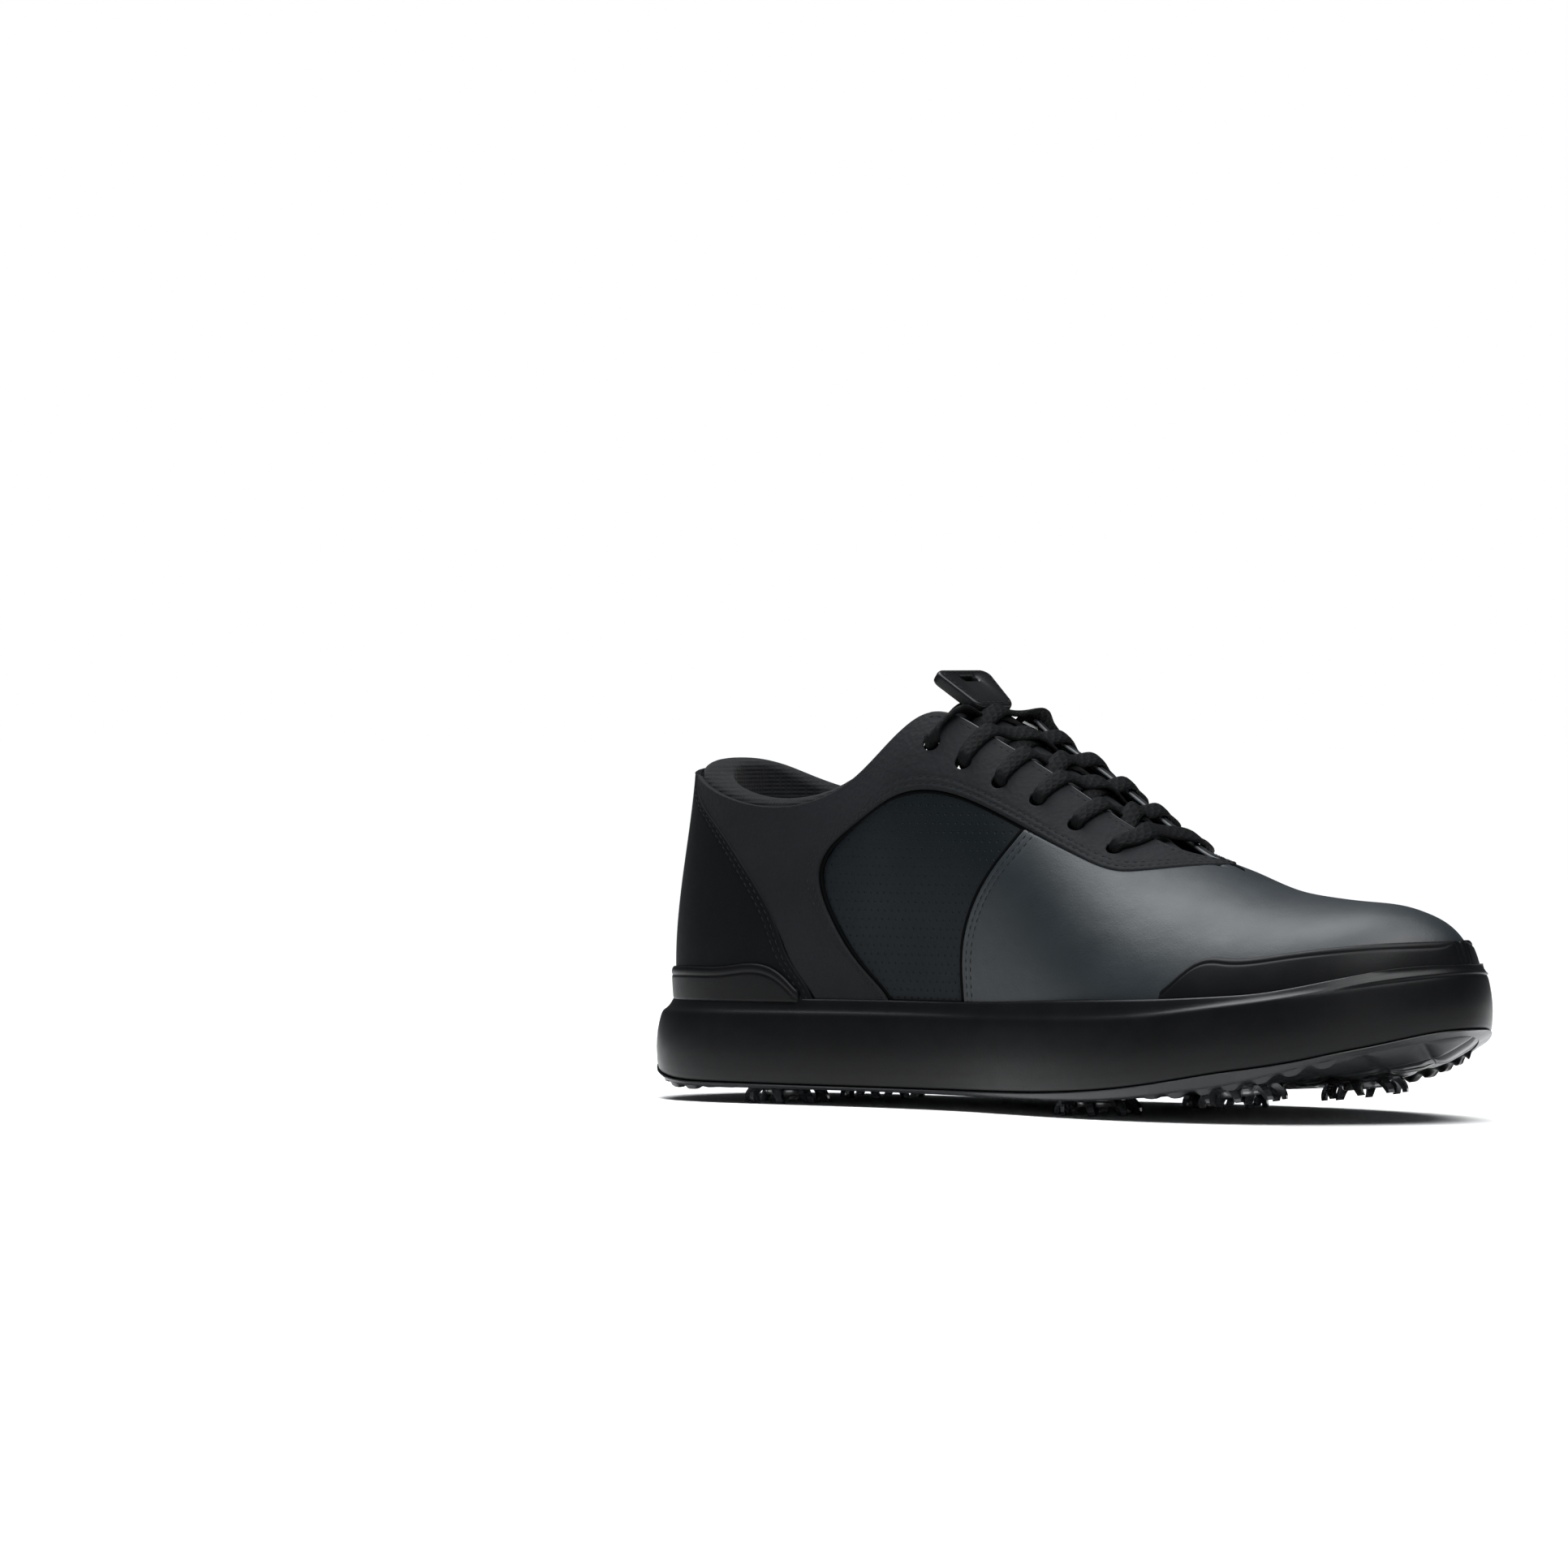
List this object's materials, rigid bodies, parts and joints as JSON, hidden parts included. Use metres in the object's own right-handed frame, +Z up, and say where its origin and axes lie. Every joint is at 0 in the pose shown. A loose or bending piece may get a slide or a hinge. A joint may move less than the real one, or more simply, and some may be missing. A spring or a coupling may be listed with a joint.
{
  "type": "golf shoe",
  "caption": "Left golf shoe of smooth black leather with a padded collar, a lace-up throat, a moulded sole and soft twist-out spikes.",
  "frame": {"origin": "on the ground under the middle of the shoe's length and width", "axes": "+X from the heel to the toe, +Y to the outer side of the foot, +Z up"},
  "size_m": [0.3062, 0.1112, 0.1319],
  "materials": {
    "leather_black": "satin",
    "leather_trim": "matte",
    "lining_textile": "matte",
    "padding_foam": "matte",
    "stiffener_board": "matte",
    "guard_rubber": "satin",
    "midsole_eva": "satin",
    "outsole_tpu": "satin",
    "panel_gloss": "gloss",
    "insert_tpu": "satin",
    "tag_blue": "satin",
    "shank_nylon": "satin",
    "board_fibre": "matte",
    "sockliner_foam": "matte",
    "lace_woven": "matte",
    "aglet_plastic": "gloss",
    "spike_tpu": "satin",
    "spike_core": "satin",
    "socket_nylon": "satin"
  },
  "bodies": {
    "shoe": {"aglet_a": "aglet_plastic", "aglet_b": "aglet_plastic", "collar_foam": "padding_foam", "collar_lining": "lining_textile", "eyelet_stay_lateral": "stiffener_board", "eyelet_stay_medial": "stiffener_board", "facing_lateral": "leather_trim", "facing_medial": "leather_trim", "heel_counter": "leather_trim", "heel_foxing": "guard_rubber", "heel_lining": "lining_textile", "heel_stiffener": "stiffener_board", "heel_tag": "tag_blue", "lace": "lace_woven", "lateral_insert": "insert_tpu", "midsole": "midsole_eva", "outsole": "outsole_tpu", "quarter_lateral": "leather_black", "quarter_lining_lateral": "lining_textile", "quarter_lining_medial": "lining_textile", "quarter_medial": "leather_black", "shank": "shank_nylon", "socket_ball_lateral": "socket_nylon", "socket_ball_medial": "socket_nylon", "socket_heel_lateral": "socket_nylon", "socket_heel_medial": "socket_nylon", "socket_toe_lateral": "socket_nylon", "socket_toe_medial": "socket_nylon", "sockliner": "sockliner_foam", "strobel_board": "board_fibre", "toe_guard": "guard_rubber", "toe_puff": "stiffener_board", "tongue": "leather_trim", "tongue_foam": "padding_foam", "tongue_lining": "lining_textile", "tongue_tab": "leather_trim", "vamp": "leather_black", "vamp_lining": "lining_textile", "waist_panel": "panel_gloss"},
    "spike_heel_medial": {"spike_core_heel_medial": "spike_core", "spike_legs_heel_medial": "spike_tpu"},
    "spike_heel_lateral": {"spike_core_heel_lateral": "spike_core", "spike_legs_heel_lateral": "spike_tpu"},
    "spike_ball_medial": {"spike_core_ball_medial": "spike_core", "spike_legs_ball_medial": "spike_tpu"},
    "spike_ball_lateral": {"spike_core_ball_lateral": "spike_core", "spike_legs_ball_lateral": "spike_tpu"},
    "spike_toe_medial": {"spike_core_toe_medial": "spike_core", "spike_legs_toe_medial": "spike_tpu"},
    "spike_toe_lateral": {"spike_core_toe_lateral": "spike_core", "spike_legs_toe_lateral": "spike_tpu"}
  },
  "joints": [
    {"name": "heel_medial_twist", "type": "hinge", "parent": "shoe", "child": "spike_heel_medial", "pos_m": [-0.09575, -0.0197, 0.0047], "axis": [0, 0, 1], "range_deg": [0, 60]},
    {"name": "heel_lateral_twist", "type": "hinge", "parent": "shoe", "child": "spike_heel_lateral", "pos_m": [-0.09575, 0.0253, 0.0047], "axis": [0, 0, 1], "range_deg": [0, 60]},
    {"name": "ball_medial_twist", "type": "hinge", "parent": "shoe", "child": "spike_ball_medial", "pos_m": [0.02625, -0.0243, 0.0047], "axis": [0, 0, 1], "range_deg": [0, 60]},
    {"name": "ball_lateral_twist", "type": "hinge", "parent": "shoe", "child": "spike_ball_lateral", "pos_m": [0.02525, 0.0378, 0.0047], "axis": [0, 0, 1], "range_deg": [0, 60]},
    {"name": "toe_medial_twist", "type": "hinge", "parent": "shoe", "child": "spike_toe_medial", "pos_m": [0.08625, -0.0337, 0.00987], "axis": [-0.1288, 0, 0.9917], "range_deg": [0, 60]},
    {"name": "toe_lateral_twist", "type": "hinge", "parent": "shoe", "child": "spike_toe_lateral", "pos_m": [0.08725, 0.0229, 0.01], "axis": [-0.1288, 0, 0.9917], "range_deg": [0, 60]}
  ]
}
